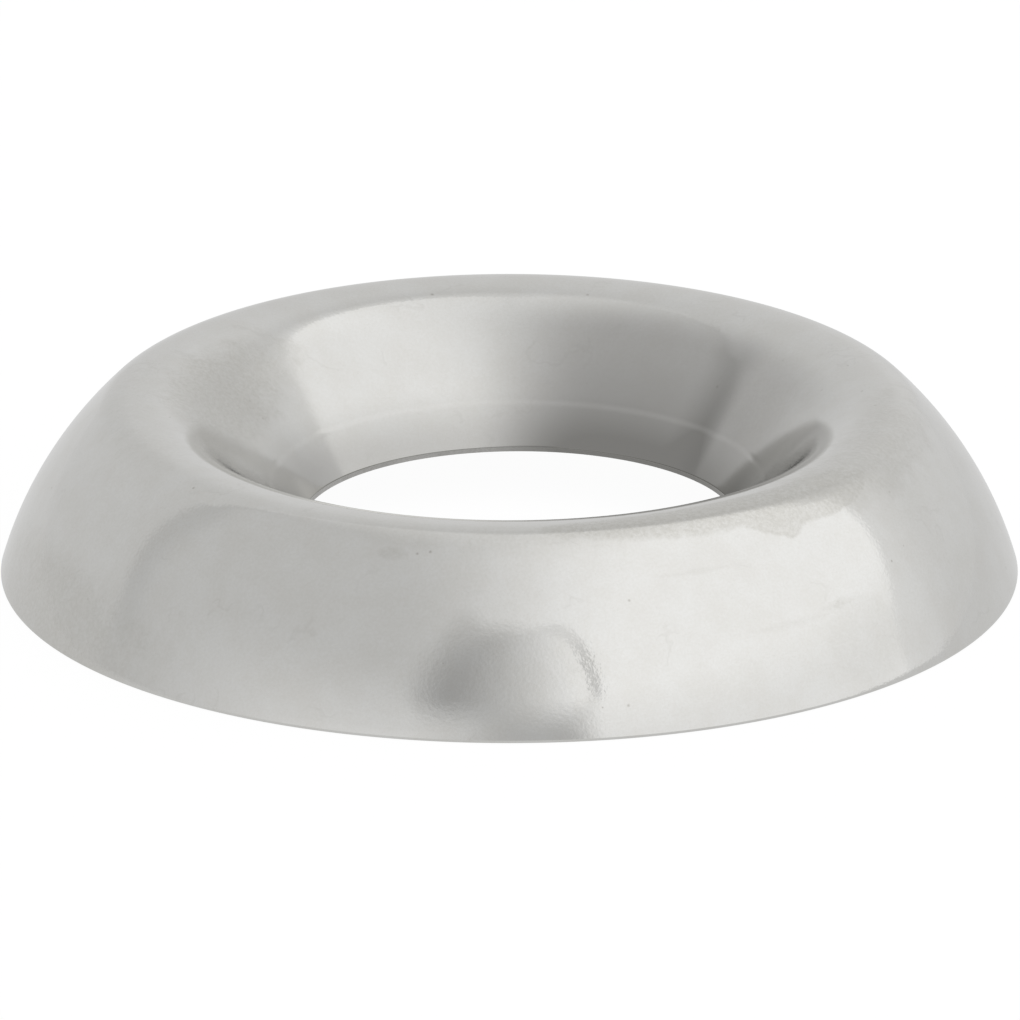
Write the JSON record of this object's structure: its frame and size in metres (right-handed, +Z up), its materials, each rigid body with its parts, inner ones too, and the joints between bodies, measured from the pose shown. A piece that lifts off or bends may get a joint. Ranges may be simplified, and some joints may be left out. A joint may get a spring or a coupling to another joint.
{
  "type": "finishing cup washer",
  "caption": "Pressed sheet-metal finishing cup washer: a bulging skirt stands on a flat rim and turns over a rounded crest into a dished cup with a round screw hole.",
  "frame": {"origin": "centre of the base plane, on the axis of the hole", "axes": "+Z up along the axis of the hole, from the flat rim to the crest; the form is the same all round, so X and Y are free"},
  "size_m": [0.015, 0.015, 0.0027],
  "materials": {
    "nickel": "satin-bright nickel plating over pressed sheet, with fine pits and faint stains"
  },
  "bodies": {
    "root": {"cup_washer": "nickel"}
  },
  "joints": []
}
